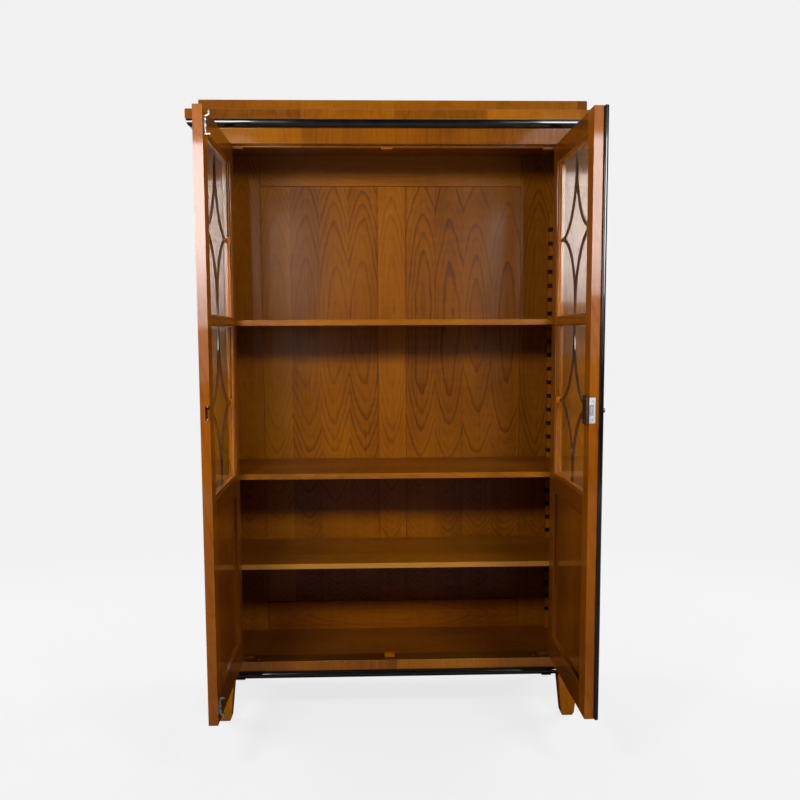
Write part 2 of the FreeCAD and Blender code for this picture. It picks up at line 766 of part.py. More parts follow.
# Bolts at the top and bottom of the left door, drawn back at rest.
bolt_length = bolt_rod_length + bolt_crank_rise + bolt_tip_length
bolts = {
    "top": (door_top - bolt_retreat - bolt_length, 1),
    "bottom": (door_bottom + bolt_retreat + bolt_length, -1),
}
for name, (foot_z, way) in bolts.items():
    save("left_door_" + name + "_bolt", swung_open(-1, cranked_bolt(foot_z, way)))
save("left_door_bolt_guides", *[swung_open(-1, bolt_guide(*place)) for place in bolts.values()])
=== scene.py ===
import json
import math
import bmesh
import bpy
from mathutils import Matrix, Vector


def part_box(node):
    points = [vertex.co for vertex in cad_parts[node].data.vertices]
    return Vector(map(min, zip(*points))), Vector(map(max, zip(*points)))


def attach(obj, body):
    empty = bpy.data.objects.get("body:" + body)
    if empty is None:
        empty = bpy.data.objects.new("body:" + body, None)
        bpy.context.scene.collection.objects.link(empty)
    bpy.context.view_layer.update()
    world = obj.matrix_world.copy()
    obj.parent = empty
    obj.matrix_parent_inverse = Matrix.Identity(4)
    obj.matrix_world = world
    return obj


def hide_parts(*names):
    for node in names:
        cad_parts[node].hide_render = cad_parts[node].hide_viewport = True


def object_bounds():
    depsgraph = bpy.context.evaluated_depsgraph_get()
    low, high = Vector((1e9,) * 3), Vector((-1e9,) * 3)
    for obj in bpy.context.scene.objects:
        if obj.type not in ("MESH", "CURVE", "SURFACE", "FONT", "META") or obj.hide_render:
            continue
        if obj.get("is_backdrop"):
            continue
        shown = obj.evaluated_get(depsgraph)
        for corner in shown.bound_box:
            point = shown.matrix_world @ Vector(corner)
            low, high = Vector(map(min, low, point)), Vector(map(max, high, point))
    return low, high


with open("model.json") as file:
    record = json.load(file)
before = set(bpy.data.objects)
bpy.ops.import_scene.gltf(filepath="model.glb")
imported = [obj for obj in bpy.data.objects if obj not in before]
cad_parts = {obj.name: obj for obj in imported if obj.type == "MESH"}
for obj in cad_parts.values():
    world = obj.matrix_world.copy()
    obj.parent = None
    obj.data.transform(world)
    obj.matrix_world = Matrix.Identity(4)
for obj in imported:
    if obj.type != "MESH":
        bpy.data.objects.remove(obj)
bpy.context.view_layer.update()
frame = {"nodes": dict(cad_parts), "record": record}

# Feet: four square legs of solid cherry that taper to a chamfered toe.
# Each is turned to a round tenon at the top and glued into the bottom of the case.
# Their sharp edges are taken off with sandpaper before the wood is stained and polished.


class Wire:
    """A shader socket. Sums and products of wires add Math nodes; add() makes any other node."""

    def __init__(self, tree, socket):
        self.tree = tree
        self.socket = socket

    def add(self, kind, settings, values, out=0):
        made = self.tree.nodes.new(kind)
        for name, value in settings.items():
            if name == "stops":
                ramp = made.color_ramp.elements
                while len(ramp) < len(value):
                    ramp.new(0.5)
                for stop, (place, colour) in zip(ramp, value):
                    stop.position = place
                    stop.color = (*colour, 1)
            else:
                setattr(made, name, value)
        for key, value in values.items():
            if isinstance(value, Wire):
                self.tree.links.new(value.socket, made.inputs[key])
            else:
                made.inputs[key].default_value = value
        return Wire(self.tree, made.outputs[out])

    def math(self, operation, a, b=0.0):
        return self.add("ShaderNodeMath", {"operation": operation}, {0: a, 1: b})

    def __add__(self, other):
        return self.math("ADD", self, other)

    def __sub__(self, other):
        return self.math("SUBTRACT", self, other)

    def __rsub__(self, other):
        return self.math("SUBTRACT", other, self)

    def __mul__(self, other):
        return self.math("MULTIPLY", self, other)

    def __truediv__(self, other):
        return self.math("DIVIDE", self, other)

    __radd__ = __add__

    def ramp(self, low, high):
        """0 below low, 1 above high, smooth between."""
        values = {"Value": self, "From Min": low, "From Max": high}
        return self.add("ShaderNodeMapRange", {"interpolation_type": "SMOOTHSTEP"}, values)

    def between(self, first, second):
        """The first colour where this is 0, the second where it is 1."""
        settings = {"data_type": "RGBA", "clamp_factor": True}
        return self.add("ShaderNodeMix", settings, {0: self, 6: first, 7: second}, 2)

    def vector(self, x, y, z):
        return self.add("ShaderNodeCombineXYZ", {}, {0: x, 1: y, 2: z})

    def noise(self, where, detail):
        values = {"Vector": where, "Scale": 1.0, "Detail": detail, "Roughness": 0.55}
        return self.add("ShaderNodeTexNoise", {"noise_dimensions": "3D"}, values)

    def chance(self, number):
        """A steady random value between 0 and 1 for each number."""
        return self.add("ShaderNodeTexWhiteNoise", {"noise_dimensions": "1D"}, {"W": number})

    def feed(self, shader, socket):
        self.tree.links.new(self.socket, shader.inputs[socket])


def new_finish(name):
    """A fresh material: its Principled shader and the wire of the piece's own coordinates."""
    material = bpy.data.materials.new(name)
    material.use_nodes = True
    tree = material.node_tree
    shader = tree.nodes["Principled BSDF"]
    coordinates = tree.nodes.new("ShaderNodeTexCoord")
    return material, shader, Wire(tree, coordinates.outputs["Object"])


def cherry(node, along, across, leaf, middle=None, eye=None, rings=1.0, sheets=0.16, tone=1.0,
           warmth=0.0, seed=0.0, polish=0.5, gloss=0.06, satin=0.36):
    """Stained cherry for a solid, cut so that its rings make arches.

    along and across are the axes of the grain. The wood lies in leaves that mirror each other:
    leaf is the width of one, and middle a line that a leaf is centred on. Where eye is given the
    arches close into an eye at that place along the grain, and elsewhere they all point one way.
    rings and sheets say how strongly the rings and the leaves differ in shade, tone how light the
    wood is and warmth how far its stain leans to red. polish is how much hard varnish lies on top,
    gloss how rough that varnish is and satin how dull the wood under it.
    """
    ring_spacing, heart_depth, taper, bow = 0.0145, 0.026, 0.16, 0.34
    heart_wander, pair_step, seed_step, ring_drift, ring_waver = 0.45, 0.031, 0.37, 0.045, 0.009
    late_start, late_end, faintest_ring = 0.40, 0.93, 0.25
    mean_shade, cloudy, streaky, fibrous, rippled, ringed = 0.55, 0.50, 0.26, 0.14, 0.14, 0.22
    low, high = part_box(node)
    centre = dict(zip("XYZ", (low + high) / 2))
    depth = ({"X", "Y", "Z"} - {along, across}).pop()
    material, shader, place = new_finish(node + "_cherry")
    split = place.add("ShaderNodeSeparateXYZ", {}, {0: place}).socket.node
    a, c, d = (Wire(place.tree, split.outputs[axis]) for axis in (along, across, depth))

    def grain(fine, long, detail=1.0, at_c=0.0, at_d=0.0, at_a=0.0):
        """Noise with one scale, fine, across the grain and another, long, along it."""
        return place.noise(place.vector(c * fine + at_c, d * fine + at_d, a * long + at_a), detail)

    # Leaves, each with its own shade; neighbours mirror each other at their joint.
    leaf_count = (c - (centre[across] if middle is None else middle)) / leaf + 0.5
    in_leaf = place.math("PINGPONG", leaf_count, 1.0)
    leaf_shade = place.chance(place.math("FLOOR", leaf_count) + seed)
    pair = place.math("FLOOR", (leaf_count + 1.0) * 0.5)

    # Rings: distance from a wandering heart line, drawn out into arches along the tree.
    wander = place.noise(place.vector(pair * 3.7 + seed, a * 1.3, seed), 1.0) - 0.5
    drift = grain(fine=8.0, long=2.2, at_d=pair * 2.3, at_a=seed) - 0.5
    waver = grain(fine=45.0, long=16.0, at_d=seed) - 0.5
    from_heart = (in_leaf - 0.5 + wander * heart_wander) * leaf
    from_face = d - centre[depth] + heart_depth
    radius = place.math("SQRT", from_heart * from_heart + from_face * from_face)
    lean = a * taper if eye is None else (a - eye) * (a - eye) * bow
    ring = radius + lean + pair * pair_step + seed * seed_step + drift * ring_drift + waver * ring_waver
    ring = ring / ring_spacing
    ring_chance = place.chance(place.math("FLOOR", ring))
    ring_strength = ring_chance * ring_chance * (1 - faintest_ring) + faintest_ring
    in_ring = place.math("FRACT", ring)
    late_wood = in_ring.ramp(late_start, late_end) * (1.0 - in_ring.ramp(late_end, 1.0))
    late_wood = late_wood * ring_strength * rings

    # Streaks and fibres, short dark flecks, clouds of colour and the ripple across the grain.
    streak = grain(fine=130.0, long=3.0, detail=2.0, at_c=seed)
    fibre = grain(fine=620.0, long=9.0, detail=2.0, at_c=seed)
    fleck = grain(fine=330.0, long=40.0, at_d=seed).ramp(0.70, 0.80)
    cloud = grain(fine=5.0, long=1.9, detail=2.0, at_d=seed)
    ripple = grain(fine=9.0, long=48.0, at_c=seed)
    shade = (
        mean_shade + (cloud - 0.5) * cloudy + (streak - 0.5) * streaky + (fibre - 0.5) * fibrous
        + (ripple - 0.5) * rippled + (leaf_shade - 0.5) * sheets - late_wood * ringed
    )
    dark, middling, light = (0.080, 0.0195, 0.0012), (0.305, 0.089, 0.0022), (0.455, 0.160, 0.006)
    stops = [(0.12, dark), (0.52, middling), (0.88, light)]
    stops = [(at, (tone * r, tone * g * (1 - warmth), tone * b)) for at, (r, g, b) in stops]
    colour = place.add("ShaderNodeValToRGB", {"stops": stops}, {"Fac": shade})
    fleck_brown, fleck_share = (0.05 * tone, 0.013 * tone, 0.001 * tone, 1), 0.45
    pale_wear_and_light, wear_and_light_share = (0.54, 0.225, 0.032, 1), 0.22
    painted_shade_brown, painted_shade_share = (0.014, 0.006, 0.002, 1), 0.92
    colour = (fleck * fleck_share).between(colour, fleck_brown)
    # The rounded edges are paled as wear, and the front faces of two shelves are paled the same way as
    # painted light.
    worn = place.add("ShaderNodeAttribute", {"attribute_name": "worn"}, {}, "Fac")
    colour = (worn * wear_and_light_share).between(colour, pale_wear_and_light)
    # Faces that a piece marks here are painted dark brown as painted shade: the top of the base rail, the
    # rack notches and the strip behind them, the joints of the back and the outer stop blocks.
    sawn = place.add("ShaderNodeAttribute", {"attribute_name": "sawn"}, {}, "Fac")
    colour = (sawn * painted_shade_share).between(colour, painted_shade_brown)

    roughness = satin + (0.5 - fibre) * 0.10 + fleck * 0.12
    height = fibre * 0.6 - late_wood * 0.3 - fleck * 0.5
    bump = place.add("ShaderNodeBump", {}, {"Strength": 0.07, "Distance": 0.0005, "Height": height})
    colour.feed(shader, "Base Color")
    roughness.feed(shader, "Roughness")
    bump.feed(shader, "Normal")
    shader.inputs["Specular IOR Level"].default_value = 0.03
    shader.inputs["Coat Weight"].default_value = polish
    shader.inputs["Coat Roughness"].default_value = gloss
    return material


def in_place_of(node, mesh, finish):
    """The mesh as a piece that takes the solid's place, on its body and in its material slot."""
    record = frame["record"]
    mesh.materials.append(finish)
    piece = bpy.data.objects.new(mesh.name, mesh)
    bpy.context.scene.collection.objects.link(piece)
    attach(piece, next(b for b, nodes in record["behaviour"]["bodies"].items() if node in nodes))
    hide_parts(node)
    return piece


def eased(node, ease, finish):
    """The solid with its sharp edges rounded off, in the solid's place."""
    weld, flat, corner, soft = 1e-6, math.radians(1), math.radians(22), math.radians(24)
    board = bmesh.new()
    board.from_mesh(frame["nodes"][node].data)
    bmesh.ops.remove_doubles(board, verts=board.verts, dist=weld)
    bmesh.ops.dissolve_limit(board, angle_limit=flat, verts=board.verts, edges=board.edges)
    worn = board.faces.layers.float.new("worn")
    corners = [e for e in board.edges if e.is_manifold and e.calc_face_angle() > corner]
    rounded = bmesh.ops.bevel(
        board, geom=corners, offset=ease, offset_type="OFFSET", segments=2, profile=0.5,
        affect="EDGES", clamp_overlap=True)
    for face in rounded["faces"]:
        face[worn] = 1.0
    for face in board.faces:
        face.smooth = True
    for edge in board.edges:
        beside = {face[worn] for face in edge.link_faces}
        edge.smooth = len(beside) == 1 and (1.0 in beside or edge.calc_face_angle(0.0) < soft)
    mesh = bpy.data.meshes.new(node + "_eased")
    board.to_mesh(mesh)
    board.free()
    return in_place_of(node, mesh, finish)


foot_ease, foot_x, leaves_between = 0.0015, 0.571, 12
foot_leaf = 2 * foot_x / leaves_between
# Their light tone is partly the wood's own colour and partly painted light for the light thrown up from the
# floor.
foot_cherry = cherry("feet", "Z", "X", foot_leaf, middle=foot_x, rings=0.5, tone=1.4, seed=1.0)
eased("feet", foot_ease, foot_cherry)

# Bottom board and base rail: a plain board under the case, and the rail below the doors.
# The rail's face is crossbanded: its veneer runs upright, in wide sheets side by side.
# Its top edge is darkened, in the place of the shade that the photograph shows there.
board_ease = 0.0008
sheet_width = 0.288
sheet_middle = sheet_width / 2
# The board's dark tone is painted shade on the floor inside the case.
bottom_cherry = cherry("bottom_board", "X", "Y", leaf=0.16, tone=0.62, warmth=0.1, seed=2.0)
eased("bottom_board", board_ease, bottom_cherry)
# The rail's slightly lighter tone is painted light.
base_rail_cherry = cherry(
    "base_rail", "Z", "X", sheet_width, middle=sheet_middle, rings=0.45, sheets=0.22, tone=1.04, seed=3.3)
base_rail = eased("base_rail", board_ease, base_rail_cherry)
squarely, rail_shade = 0.99, 0.8
shaded = base_rail.data.attributes.new("sawn", "FLOAT", "FACE")
for face in base_rail.data.polygons:
    shaded.data[face.index].value = rail_shade if face.normal.z > squarely else 0.0

# Sides, pilasters and top board: veneered boards, the upright ones with upright grain.
# The pilasters are glued along the front edges of the sides and stand beside the doors.
for seed, side in ((4.0, "left"), (5.0, "right")):
    eased(side + "_side", board_ease, cherry(side + "_side", "Z", "Y", leaf=0.155, eye=1.1, seed=seed))
    pilaster_cherry = cherry(
        side + "_pilaster", "Z", "X", leaf=0.11, rings=0.5, tone=0.76, seed=seed + 0.5, polish=0.66)
    eased(side + "_pilaster", board_ease, pilaster_cherry)
eased("top_board", board_ease, cherry("top_board", "X", "Y", leaf=0.15, tone=0.9, seed=6.0))

# Frieze, cornice board and cap: crossbanded with upright veneer in wide sheets.
# The cornice board overhangs the moulding below it, and the narrower cap lies on top.
for seed, node, polish in ((7.2, "frieze", 0.7), (8.1, "cornice_board", 0.5), (9.4, "cap", 0.5)):
    banding = cherry(
        node, "Z", "X", sheet_width, middle=sheet_middle, rings=0.40, sheets=0.42, tone=1.04, seed=seed,
        polish=polish)
    eased(node, board_ease, banding)

# Cornice and base mouldings: wood stained black and polished to a hard gloss.
# The upper one is mitred round the front corners, the lower one runs along the front alone.


def ebonised(name, along, seed=0.0):
    """Black polish over a close grain: nearly a mirror, with faint pores and edges rubbed brown."""
    material, shader, place = new_finish(name)
    lengthwise, crosswise = 14.0, 500.0
    stretch = [lengthwise if axis == along else crosswise for axis in "XYZ"]
    turned = place.add("ShaderNodeMapping", {}, {"Vector": place, "Location": (seed,) * 3, "Scale": stretch})
    pores = place.noise(turned, 2.0)
    haze = place.noise(place.add("ShaderNodeMapping", {}, {"Vector": place, "Scale": (25.0,) * 3}), 2.0)
    worn = place.add("ShaderNodeAttribute", {"attribute_name": "worn"}, {}, "Fac")
    colour = haze.ramp(0.3, 0.75).between((0.004, 0.0036, 0.0034, 1), (0.0085, 0.0072, 0.0066, 1))
    colour = (worn * pores.ramp(0.5, 0.7) * 0.35).between(colour, (0.05, 0.024, 0.012, 1))
    roughness = 0.16 + haze * 0.08 + worn * 0.08
    bump = place.add("ShaderNodeBump", {}, {"Strength": 0.04, "Distance": 0.0004, "Height": pores})
    colour.feed(shader, "Base Color")
    roughness.feed(shader, "Roughness")
    bump.feed(shader, "Normal")
    shader.inputs["Specular IOR Level"].default_value = 0.08
    shader.inputs["Coat Weight"].default_value = 0.6
    shader.inputs["Coat Roughness"].default_value = 0.06
    return material


def swept(node, profile, line, finish):
    """A moulding in the solid's place. Each pair of the profile is how far it stands out and its level,
    and line gives the corners of the run at that distance."""
    run = bmesh.new()
    rows = [[run.verts.new((x, y, level)) for x, y in line(out)] for out, level in profile]
    for row, after in zip(rows, rows[1:] + rows[:1]):
        for start in range(len(row) - 1):
            run.faces.new((row[start], row[start + 1], after[start + 1], after[start]))
    for end in (0, -1):
        run.faces.new([row[end] for row in rows])
    bmesh.ops.recalc_face_normals(run, faces=run.faces)
    mesh = bpy.data.meshes.new(node + "_run")
    run.to_mesh(mesh)
    run.free()
    mesh.shade_smooth()
    mesh.set_sharp_from_angle(angle=math.radians(24))
    return in_place_of(node, mesh, finish)


black_lengthwise = ebonised("black_moulding_polish", "X")
facets = 12
quarter = [math.radians(90 * step / facets) for step in range(facets + 1)]
low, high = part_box("cornice_moulding")
stands_out, fillet, quirk, toe = 0.020, 0.005, 0.001, 0.003
round_up, round_out = high.z - low.z - fillet, stands_out - quirk - toe
case_half, case_front, case_back = high.x - stands_out, low.y + stands_out, high.y
cornice_profile = [(0, low.z), (0, high.z), (stands_out, high.z), (stands_out, high.z - fillet)] + [
    (toe + round_out * math.cos(turn), low.z + round_up * (1 - math.sin(turn))) for turn in quarter]
swept("cornice_moulding", cornice_profile, lambda out: [
    (-case_half - out, case_back), (-case_half - out, case_front - out),
    (case_half + out, case_front - out), (case_half + out, case_back)], black_lengthwise)
low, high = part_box("base_moulding")
hang, flat_out = 0.0035, 0.006
half_height, nose_out = (high.z - low.z + hang) / 2, high.y - low.y - flat_out
base_profile = [(0, low.z - hang), (0, high.z)] + [
    (flat_out + nose_out * math.sin(2 * turn), low.z - hang + half_height * (1 + math.cos(2 * turn)))
    for turn in quarter]
swept("base_moulding", base_profile, lambda out: [(low.x, high.y - out), (high.x, high.y - out)],
      black_lengthwise)

# Back: a frame of stiles, rails and a middle muntin round two floating panels.
# The panels are veneered in narrow leaves, mirrored in pairs so that the arches face each other.
# Like all of the inside it has a duller polish than the outside. Its joints are drawn dark as painted shade
# between the parts, and its pieces have tones darker than the wood as painted shade inside the case, the
# right stile and the rails most.
inner_polish = 0.24
inner_gloss = 0.22
upper_shelf_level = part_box("upper_shelf")[1].z
for seed, node, tone in (
    (10.0, "back_left_stile", 0.92), (11.3, "back_right_stile", 0.8), (12.6, "back_muntin", 0.95),
):
    low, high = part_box(node)
    stile_cherry = cherry(
        node, "Z", "X", high.x - low.x, eye=upper_shelf_level, tone=tone, seed=seed, polish=inner_polish,
        gloss=inner_gloss)
    eased(node, board_ease, stile_cherry).data.attributes["worn"].name = "sawn"
for seed, node, warmth in ((13.2, "back_top_rail", 0.0), (14.5, "back_bottom_rail", 0.1)):
    low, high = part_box(node)
    rail_cherry = cherry(
        node, "X", "Z", high.z - low.z, eye=-0.02, rings=0.7, tone=0.85, warmth=warmth, seed=seed,
        polish=inner_polish, gloss=inner_gloss)
    eased(node, board_ease, rail_cherry).data.attributes["worn"].name = "sawn"
panel_leaf = 0.1045
back_panel_cherry = cherry(
    "back_panels", "Z", "X", panel_leaf, middle=panel_leaf, eye=upper_shelf_level, sheets=0.26,
    tone=0.95, seed=15.8, polish=inner_polish, gloss=inner_gloss)
eased("back_panels", board_ease, back_panel_cherry).data.attributes["worn"].name = "sawn"

# Racks and bearers: notched battens in the corners, and the loose sticks that lie in the notches.
# They are of plain cherry without varnish. The notches, and a thin strip behind the rear ones, are
# darkened in the place of the shade that the photograph shows in them.
moulding_ease = 0.0005
for seed, node, along in ((16.1, "shelf_racks", "Z"), (17.1, "shelf_bearers", "Y")):
    batten_cherry = cherry(
        node, along, "X", leaf=0.08, rings=0.6, tone=0.85, seed=seed, polish=0.0, satin=0.5)
    battens = eased(node, moulding_ease, batten_cherry)
    if node == "shelf_racks":
        strip_thickness, notch_near, notch_far, rear_notches = 0.0004, 0.012, 0.024, []
        low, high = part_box(node)
        racks = bmesh.new()
        racks.from_mesh(battens.data)
        sawn = racks.faces.layers.float.new("sawn")
        for face in racks.faces:
            middle = face.calc_center_median()
            from_side = high.x - abs(middle.x)
            in_notch = notch_near < from_side < notch_far and abs(face.normal.y) < 0.5
            face[sawn] = float(in_notch)
            if in_notch and face.normal.z > squarely and middle.y > 0:
                rear_notches.extend(corner.co.x for corner in face.verts)
        for ends in ([x for x in rear_notches if x < 0], [x for x in rear_notches if x > 0]):
            size = Vector((max(ends) - min(ends), strip_thickness, high.z - low.z))
            centre = Vector((min(ends), high.y - strip_thickness, low.z)) + size / 2
            spread = Matrix.Translation(centre) @ Matrix.Diagonal((*size, 1))
            for corner in bmesh.ops.create_cube(racks, size=1.0, matrix=spread)["verts"]:
                for face in corner.link_faces:
                    face[sawn] = 1.0
        racks.to_mesh(battens.data)
        racks.free()

# Shelves: veneered boards with the grain from end to end, and a solid lipping on the front edge.
# Their corners are cut out to pass the racks. The front faces of the middle and lowest are painted paler as
# painted light, the lowest much more, and the lowest has a darker tone as painted shade.
for seed, node, tone, paleness in (
    (21.7, "lower_shelf", 0.88, 5.0), (19.4, "middle_shelf", 0.97, 0.35), (20.9, "upper_shelf", 0.98, 0.0),
):
    shelf_cherry = cherry(
        node, "X", "Y", leaf=0.13, eye=0.05, rings=0.7, tone=tone, seed=seed, polish=inner_polish,
        gloss=inner_gloss)
    shelf = eased(node, board_ease, shelf_cherry)
    for face in shelf.data.polygons:
        if face.normal.y < -squarely and face.center.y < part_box(node)[0].y + board_ease:
            shelf.data.attributes["worn"].data[face.index].value = paleness

# Stop and keep blocks: small blocks of cherry glued under the frieze and on the base rail.
# The doors close against the outer ones, which are darkened as painted shade.
# The bolts shoot into the middle ones.
block_cherry = cherry("stop_blocks", "X", "Y", leaf=0.05, rings=0.4, tone=1.1, seed=22.0)
blocks = eased("stop_blocks", moulding_ease, block_cherry)
shaded = blocks.data.attributes.new("sawn", "FLOAT", "FACE")
middle_reach, block_shade = 0.1, 0.6
for face in blocks.data.polygons:
    shaded.data[face.index].value = block_shade if abs(face.center.x) > middle_reach else 0.0

# Door frames: solid stiles and rails, mortised and tenoned together.
# The grain follows each piece; the rails run between the stiles.
door_polish, door_warmth = 0.75, 0.12
# The hinge stiles and rails have darker tones than the lock stiles, as painted shade on their inner faces;
# the top rails are darkest.
for seed, side, edge_polish in ((23.0, "left", 0.46), (31.0, "right", 0.31)):
    for step, part, along, across, tone in (
        (0, "hinge_stile", "Z", "Y", 0.82), (1, "lock_stile", "Z", "Y", 1.04),
        (2, "top_rail", "Y", "Z", 0.7), (3, "mid_rail", "Y", "Z", 0.8),
        (4, "lock_rail", "Y", "Z", 0.8), (5, "bottom_rail", "Y", "Z", 0.85),
    ):
        node = f"{side}_door_{part}"
        frame_cherry = cherry(
            node, along, across, leaf=0.12, rings=0.55, tone=tone, warmth=door_warmth, seed=seed + step,
            polish=edge_polish if part == "lock_stile" else door_polish)
        eased(node, board_ease, frame_cherry)

# Door panels, their mouldings and the glazing beads: a veneered panel floats in a groove.
# Bevelled strips, mitred at the corners, frame it, and others pin the panes into their rebates.
# The right panel's darker tone is painted shade, and so is the dark tone of the panel mouldings.
for seed, side, panel_tone in ((40.0, "left", 1.06), (45.0, "right", 0.88)):
    panel_cherry = cherry(
        side + "_door_panel", "Z", "Y", leaf=0.14, eye=0.4, tone=panel_tone, warmth=door_warmth,
        seed=seed, polish=door_polish)
    eased(side + "_door_panel", board_ease, panel_cherry)
    for step, strips, tone, polish, gloss in (
        (1, "_door_panel_moulding", 0.7, 0.10, 0.25), (2, "_door_beads", 1.0, 0.6, 0.06),
    ):
        strip_cherry = cherry(
            side + strips, "Z", "Y", leaf=0.06, rings=0.4, tone=tone, warmth=door_warmth, seed=seed + step,
            polish=polish, gloss=gloss)
        eased(side + strips, moulding_ease, strip_cherry)

# Glazing bars, cover strip and keyhole bush: black like the mouldings.
# The bars part into a pointed diamond over each pane. The strip, rounded full on both edges,
# is glued to the right door and laps over the left one.
black_upright = ebonised("black_bar_polish", "Z", 3.0)
bar_ease = 0.0012
for node in ("left_door_lattice", "right_door_lattice"):
    eased(node, bar_ease, black_upright)
eased("right_door_escutcheon", moulding_ease, black_upright)
low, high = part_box("right_door_astragal")
strip_middle, strip_half = (low + high) / 2, (high.y - low.y) / 2
seat, lap, lap_play = 0.005, 0.010, 0.0006
section, points, fullness = [], 64, 2 / 3
for point in range(points):
    turn = math.tau * point / points
    out, wide = math.cos(turn), math.sin(turn)
    y = strip_middle.y + strip_half * math.copysign(abs(wide) ** fullness, wide)
    x = low.x + seat + (high.x - low.x - seat) * math.copysign(abs(out) ** fullness, out)
    section.append((max(x, low.x + (lap_play if y < low.y + lap else 0)), y))
strip = bmesh.new()
end_round, pinch = 0.0015, 0.15
rings = [
    [strip.verts.new((x + (strip_middle.x - x) * drawn, y + (strip_middle.y - y) * drawn, level))
     for x, y in section]
    for level, drawn in (
        (low.z, pinch), (low.z + end_round, 0), (high.z - end_round, 0), (high.z, pinch))]
for ring, after in zip(rings, rings[1:]):
    for point in range(points):
        strip.faces.new((ring[point], ring[point - 1], after[point - 1], after[point]))
for ring in (rings[0], rings[-1]):
    strip.faces.new(ring)
bmesh.ops.recalc_face_normals(strip, faces=strip.faces)
strip_mesh = bpy.data.meshes.new("right_door_astragal_strip")
strip.to_mesh(strip_mesh)
strip.free()
strip_mesh.shade_smooth()
strip_mesh.set_sharp_from_angle(angle=math.radians(35))
in_place_of("right_door_astragal", strip_mesh, black_upright)

# Panes: clear sheet glass with a trace of green and a faint waviness.
# Light passes straight through it to what lies behind.
glass, glass_shader, glass_place = new_finish("pane_glass")
swell = glass_place.add("ShaderNodeMapping", {}, {"Vector": glass_place, "Scale": (9.0, 9.0, 5.0)})
wave = glass_place.add("ShaderNodeBump", {}, {
    "Strength": 0.03, "Distance": 0.002, "Height": glass_place.noise(swell, 1.0)})
wave.feed(glass_shader, "Normal")
glass_shader.inputs["Base Color"].default_value = (0.95, 0.975, 0.96, 1)
glass_shader.inputs["Roughness"].default_value = 0.0
glass_shader.inputs["IOR"].default_value = 1.5
glass_shader.inputs["Transmission Weight"].default_value = 1.0
shadow_ray = glass_place.add("ShaderNodeLightPath", {}, {}, "Is Shadow Ray")
clear = glass_place.add("ShaderNodeBsdfTransparent", {}, {"Color": (0.92, 0.95, 0.93, 1)})
solid_glass = Wire(glass_place.tree, glass_shader.outputs[0])
glass_mix = glass_place.add("ShaderNodeMixShader", {}, {0: shadow_ray, 1: solid_glass, 2: clear})
glass_mix.feed(glass.node_tree.nodes["Material Output"], "Surface")
for node in ("left_door_glass", "right_door_glass"):
    frame["nodes"][node].data.materials.clear()
    frame["nodes"][node].data.materials.append(glass)

# Pivots, bolts, guides and lock plate: filed and polished steel.
# The plates are let in flush, and the bolts slide under bridges riveted to a back plate.


def steel(name, bright, tarnish, seed=0.0):
    """Handled metal: cloudy polish, fine scratches and a little grey tarnish."""
    material, shader, place = new_finish(name)
    cloud = place.noise(place.add("ShaderNodeMapping", {}, {
        "Vector": place, "Location": (seed,) * 3, "Scale": (160.0,) * 3}), 3.0)
    scratch = place.noise(place.add("ShaderNodeMapping", {}, {
        "Vector": place, "Scale": (2600.0, 2600.0, 240.0)}), 2.0)
    colour = cloud.ramp(0.35, 0.7).between((*(value * tarnish for value in bright), 1), (*bright, 1))
    roughness = 0.30 + (1 - cloud.ramp(0.3, 0.7)) * 0.14 + scratch * 0.12
    bump = place.add("ShaderNodeBump", {}, {"Strength": 0.06, "Distance": 0.0002, "Height": scratch})
    colour.feed(shader, "Base Color")
    roughness.feed(shader, "Roughness")
    bump.feed(shader, "Normal")
    shader.inputs["Metallic"].default_value = 1.0
    return material


fitting_steel = steel("fitting_steel", (0.40, 0.40, 0.39), 0.6)
pivot_steel = steel("pivot_steel", (0.16, 0.14, 0.12), 0.6, 8.0)
plate_steel = steel("plate_steel", (0.50, 0.53, 0.57), 0.9, 5.0)
bolt_steel = steel("lock_bolt_steel", (0.38, 0.40, 0.42), 0.75, 11.0)
metal_ease = 0.0003
for node in ("left_door_bolt_guides", "left_door_top_bolt", "left_door_bottom_bolt"):
    eased(node, metal_ease, fitting_steel)
for node in ("pivot_sockets", "left_door_pivots", "right_door_pivots"):
    eased(node, metal_ease, pivot_steel)
plate_ease = 0.0009
eased("right_door_lock_plate", plate_ease, plate_steel)
eased("right_door_lock_bolt", plate_ease, bolt_steel)

# Lock case and strike: a box of sheet iron, browned, screwed to the inner face of the lock stile.
# The strike is a plate of the same iron, let into the edge of the other door.
browned_iron = steel("browned_iron", (0.075, 0.042, 0.028), 0.6, 2.0)
iron_ease = 0.001
eased("right_door_lock_case", iron_ease, browned_iron)
eased("left_door_strike_plate", metal_ease, browned_iron)

# Screws: slotted, countersunk, driven home by hand, so that no two slots lie alike.
# They hold the pivots, guides, lock and strike, and the base rail at its two ends.


def new_tree(name, sizes):
    """A Geometry Nodes tree with named sizes: the tree, its input node and its output node."""
    tree = bpy.data.node_groups.new(name, "GeometryNodeTree")
    tree.interface.new_socket("Geometry", in_out="INPUT", socket_type="NodeSocketGeometry")
    for size in sizes:
        tree.interface.new_socket(size, in_out="INPUT", socket_type="NodeSocketFloat")
    tree.interface.new_socket("Finish", in_out="INPUT", socket_type="NodeSocketMaterial")
    tree.interface.new_socket("Geometry", in_out="OUTPUT", socket_type="NodeSocketGeometry")
    return tree, tree.nodes.new("NodeGroupInput"), tree.nodes.new("NodeGroupOutput")


